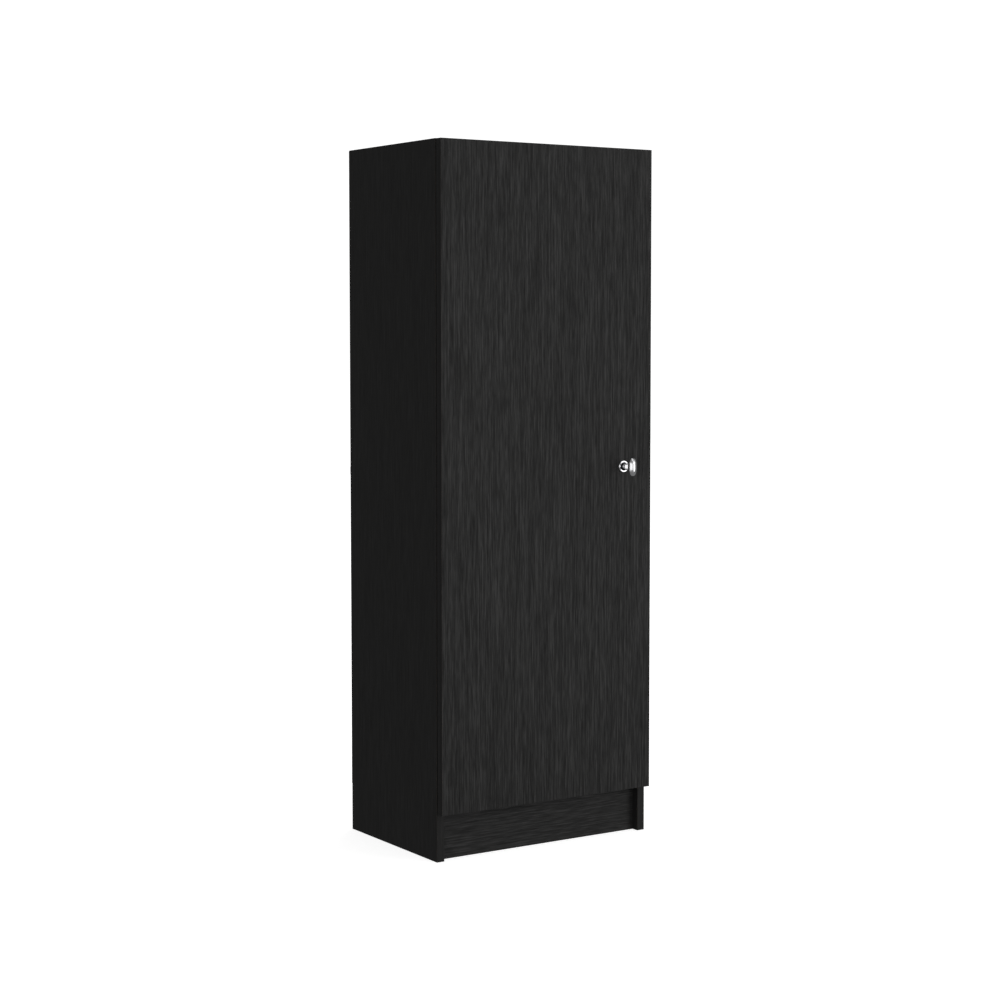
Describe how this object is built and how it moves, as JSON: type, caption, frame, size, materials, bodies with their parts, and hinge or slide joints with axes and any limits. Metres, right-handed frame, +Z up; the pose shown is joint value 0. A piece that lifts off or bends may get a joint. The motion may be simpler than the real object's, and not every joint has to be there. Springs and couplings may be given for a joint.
{
  "type": "pantry cabinet",
  "caption": "Tall narrow free-standing pantry cabinet in black wood-grain board, with a full-height hinged door, a chrome knob, shelves inside and a set-back plinth.",
  "frame": {"origin": "on the floor, half-way between the side panels and half-way between the back of the cabinet and the tip of the knob", "axes": "+X to the right as one faces the door, -Y towards the person who opens it, +Z up"},
  "size_m": [0.45, 0.358, 1.254],
  "materials": {
    "black_melamine": "matt melamine print of fine straight black wenge grain",
    "black_edge_band": "matt plastic edge band, fine grain",
    "hardboard": "raw brown hardboard behind, black film inside",
    "black_plastic": "fine moulded texture",
    "beech": "fluted raw beech",
    "zinc_casting": "dull die-cast zinc",
    "zinc_plated_steel": "bright zinc plating",
    "clear_rubber": "clear soft bumper",
    "polished_chrome": "polished chrome",
    "nickel_steel": "nickel-plated pressed steel"
  },
  "bodies": {
    "carcass": {"back_joiner_strip": "black_plastic", "back_panel_lower": "hardboard", "back_panel_nails": "zinc_plated_steel", "back_panel_upper": "hardboard", "bottom_panel": "black_melamine", "cam_bolts": "zinc_plated_steel", "cam_covers": "black_plastic", "cam_locks": "zinc_casting", "carcass_edge_bands": "black_edge_band", "door_bumpers": "clear_rubber", "fixed_shelf": "black_melamine", "hinge_arm_bottom": "nickel_steel", "hinge_arm_middle": "nickel_steel", "hinge_arm_pins": "nickel_steel", "hinge_arm_screws": "nickel_steel", "hinge_arm_top": "nickel_steel", "hinge_plate_bottom": "nickel_steel", "hinge_plate_middle": "nickel_steel", "hinge_plate_screws": "nickel_steel", "hinge_plate_top": "nickel_steel", "left_side_panel": "black_melamine", "plinth": "black_melamine", "plinth_brace_screws": "zinc_plated_steel", "plinth_braces": "black_plastic", "right_side_panel": "black_melamine", "shelf_pins": "zinc_plated_steel", "top_panel": "black_melamine", "wall_bracket_screws": "zinc_plated_steel", "wall_brackets": "zinc_plated_steel", "wood_dowels": "beech"},
    "hinge_outer_links": {"hinge_outer_link_bottom": "nickel_steel", "hinge_outer_link_middle": "nickel_steel", "hinge_outer_link_top": "nickel_steel"},
    "hinge_inner_links": {"hinge_inner_link_bottom": "nickel_steel", "hinge_inner_link_middle": "nickel_steel", "hinge_inner_link_top": "nickel_steel", "hinge_link_pins": "nickel_steel"},
    "door": {"door_panel": "black_melamine", "door_edge_band": "black_edge_band", "knob": "polished_chrome", "knob_rose": "polished_chrome", "knob_screw": "zinc_plated_steel", "hinge_cup_pins": "nickel_steel", "hinge_cup_screws": "nickel_steel", "hinge_cup_bottom": "nickel_steel", "hinge_cup_middle": "nickel_steel", "hinge_cup_top": "nickel_steel"},
    "shelf_lower": {"adjustable_shelf_lower": "black_melamine", "shelf_edge_band_lower": "black_edge_band"},
    "shelf_middle": {"adjustable_shelf_middle": "black_melamine", "shelf_edge_band_middle": "black_edge_band"},
    "shelf_upper": {"adjustable_shelf_upper": "black_melamine", "shelf_edge_band_upper": "black_edge_band"}
  },
  "joints": [
    {"name": "door_swing", "type": "hinge", "parent": "hinge_outer_links", "child": "door", "pos_m": [-0.21428, -0.1317, 0.669], "axis": [0, 0, -1], "range_deg": [0, 120.67]},
    {"name": "outer_link_swing", "type": "hinge", "parent": "carcass", "child": "hinge_outer_links", "pos_m": [-0.18787, -0.12244, 0.669], "axis": [0, 0, 1], "range_deg": [0, 26]},
    {"name": "inner_link_swing", "type": "hinge", "parent": "carcass", "child": "hinge_inner_links", "pos_m": [-0.1917, -0.136, 0.669], "axis": [0, 0, 1], "range_deg": [0, 9.5]},
    {"name": "shelf_lower_lift", "type": "slide", "parent": "carcass", "child": "shelf_lower", "axis": [0, 0, 1], "range_m": [0, 0.09]},
    {"name": "shelf_middle_lift", "type": "slide", "parent": "carcass", "child": "shelf_middle", "axis": [0, 0, 1], "range_m": [0, 0.09]},
    {"name": "shelf_upper_lift", "type": "slide", "parent": "carcass", "child": "shelf_upper", "axis": [0, 0, 1], "range_m": [0, 0.09]}
  ],
  "couplings": [
    {"joint": "outer_link_swing", "follows": "door_swing", "ratio": 0.21273},
    {"joint": "inner_link_swing", "follows": "door_swing", "ratio": 0.076904}
  ]
}
